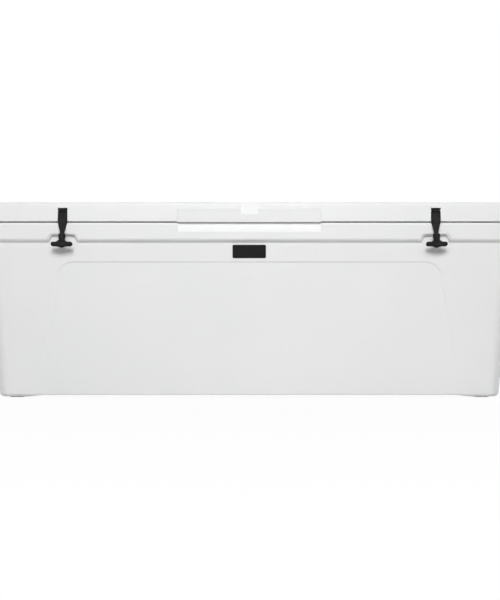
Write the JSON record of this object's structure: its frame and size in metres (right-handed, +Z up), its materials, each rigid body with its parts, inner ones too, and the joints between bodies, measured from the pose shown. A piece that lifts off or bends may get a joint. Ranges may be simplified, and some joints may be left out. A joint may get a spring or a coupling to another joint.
{
  "type": "ice chest",
  "caption": "Large rotomoulded ice chest: tapered foam-filled tub under a thick collar, hinged insulated lid with gasket, rubber T-latches, end hand grips, screw drain plug and rubber feet.",
  "frame": {"origin": "centre of the footprint, on the floor under the feet", "axes": "+X along the chest to the drain end, -Y towards the latches, +Z up"},
  "size_m": [1.576, 0.6341, 0.566],
  "materials": {
    "white_plastic": "satin",
    "black_rubber": "matte",
    "seal_rubber": "matte",
    "steel": "satin",
    "drain_plastic": "satin",
    "foam": "matte",
    "badge_plastic": "satin"
  },
  "bodies": {
    "tub": {"body_shell": "white_plastic", "body_port_plugs": "white_plastic", "foot_front_left": "black_rubber", "foot_front_right": "black_rubber", "foot_rear_left": "black_rubber", "foot_rear_right": "black_rubber", "drain_gasket": "seal_rubber", "hinge_pin_left": "steel", "hinge_pin_right": "steel", "hinge_pin_screws": "steel", "foot_screws": "steel", "drain_insert": "drain_plastic", "drain_nut": "drain_plastic", "body_foam": "foam", "badge_plate": "badge_plastic"},
    "lid": {"lid_shell": "white_plastic", "lid_foam": "foam", "lid_gasket": "seal_rubber", "lid_port_plugs": "white_plastic", "latch_pin_left": "steel", "latch_pin_right": "steel"},
    "left_latch": {"latch_left": "black_rubber"},
    "right_latch": {"latch_right": "black_rubber"},
    "drain_seal_ring": {"drain_seal": "seal_rubber"},
    "drain_screw_plug": {"drain_plug": "drain_plastic"}
  },
  "joints": [
    {"name": "lid_hinge", "type": "hinge", "parent": "tub", "child": "lid", "pos_m": [0, 0.3, 0.5085], "axis": [-1, 0, 0], "range_deg": [0, 100]},
    {"name": "left_latch_swing", "type": "hinge", "parent": "lid", "child": "left_latch", "pos_m": [-0.536, -0.287, 0.54075], "axis": [-1, 0, 0], "range_deg": [-10.3, 105]},
    {"name": "right_latch_swing", "type": "hinge", "parent": "lid", "child": "right_latch", "pos_m": [0.536, -0.287, 0.54075], "axis": [-1, 0, 0], "range_deg": [-10.3, 105]},
    {"name": "drain_travel", "type": "slide", "parent": "tub", "child": "drain_seal_ring", "axis": [1, 0, 0], "range_m": [0, 0.0151]},
    {"name": "drain_turn", "type": "hinge", "parent": "drain_seal_ring", "child": "drain_screw_plug", "pos_m": [0.74072, 0, 0.088], "axis": [1, 0, 0], "range_deg": [0, 1080]}
  ],
  "couplings": [
    {"joint": "drain_travel", "follows": "drain_turn", "m_per_rad": 0.00079577}
  ]
}
